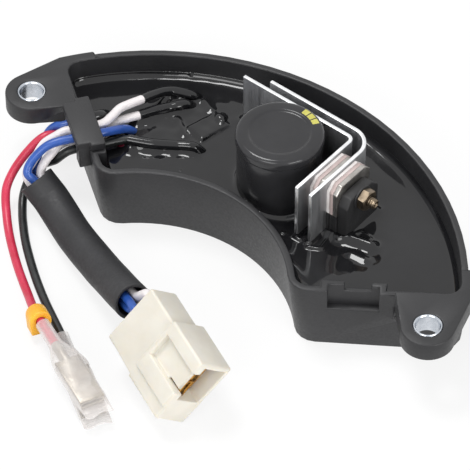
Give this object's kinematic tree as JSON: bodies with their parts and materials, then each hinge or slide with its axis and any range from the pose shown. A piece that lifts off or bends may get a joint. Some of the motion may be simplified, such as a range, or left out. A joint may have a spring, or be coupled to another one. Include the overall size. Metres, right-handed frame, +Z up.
{
  "type": "automatic voltage regulator",
  "caption": "Half-moon potted voltage regulator for a generator's end bell, with fixing ears, a capacitor, bent cooling fins and a wire harness with connector and push-on terminals.",
  "frame": {"origin": "middle of the case in plan, on its underside", "axes": "+X along the line between the two fixing holes, +Y towards the outer curved wall, +Z up out of the open tray"},
  "size_m": [0.1548, 0.1269, 0.0344],
  "materials": {
    "case_plastic": "satin moulded",
    "zinc_steel": "bright zinc",
    "resin": "glossy cast resin",
    "board": "laminate",
    "capacitor_sleeve": "shrink sleeve",
    "fin_aluminium": "mill finish",
    "insulator": "moulded",
    "plated_tab": "tin plated",
    "device_plastic": "moulded",
    "passivated_steel": "yellow passivated",
    "film_case": "dipped",
    "resistor_body": "coated",
    "trimmer_body": "moulded",
    "red_wire": "extruded vinyl",
    "black_wire": "extruded vinyl",
    "blue_wire": "extruded vinyl",
    "white_wire": "extruded vinyl",
    "sleeve_vinyl": "matt vinyl tube",
    "ivory_nylon": "moulded nylon",
    "terminal_brass": "stamped",
    "clear_vinyl": "clear soft vinyl",
    "yellow_plastic": "moulded"
  },
  "bodies": {
    "root": {"case": "case_plastic", "left_bush": "zinc_steel", "right_bush": "zinc_steel", "potting": "resin", "circuit_board": "board", "capacitor": "capacitor_sleeve", "inner_fin": "fin_aluminium", "outer_fin": "fin_aluminium", "inner_insulator": "insulator", "inner_transistor_tab": "plated_tab", "inner_transistor_body": "device_plastic", "inner_transistor_leads": "plated_tab", "outer_insulator": "insulator", "outer_transistor_tab": "plated_tab", "outer_transistor_body": "device_plastic", "outer_transistor_leads": "plated_tab", "clamp_bolt": "passivated_steel", "clamp_washer": "device_plastic", "clamp_nut": "passivated_steel", "film_capacitor": "film_case", "rectifier_diodes": "device_plastic", "resistors": "resistor_body", "trimmer": "trimmer_body", "wire_clamp": "case_plastic", "red_wire": "red_wire", "black_wire": "black_wire", "front_blue_wire": "blue_wire", "rear_blue_wire": "blue_wire", "upper_white_wire": "white_wire", "lower_white_wire": "white_wire", "harness_sleeve": "sleeve_vinyl", "connector_housing": "ivory_nylon", "connector_terminal_1": "terminal_brass", "connector_terminal_2": "terminal_brass", "connector_terminal_3": "terminal_brass", "connector_terminal_4": "terminal_brass", "red_terminal": "plated_tab", "red_terminal_sleeve": "clear_vinyl", "black_terminal": "plated_tab", "black_terminal_sleeve": "clear_vinyl", "wire_marker": "yellow_plastic"}
  },
  "joints": []
}
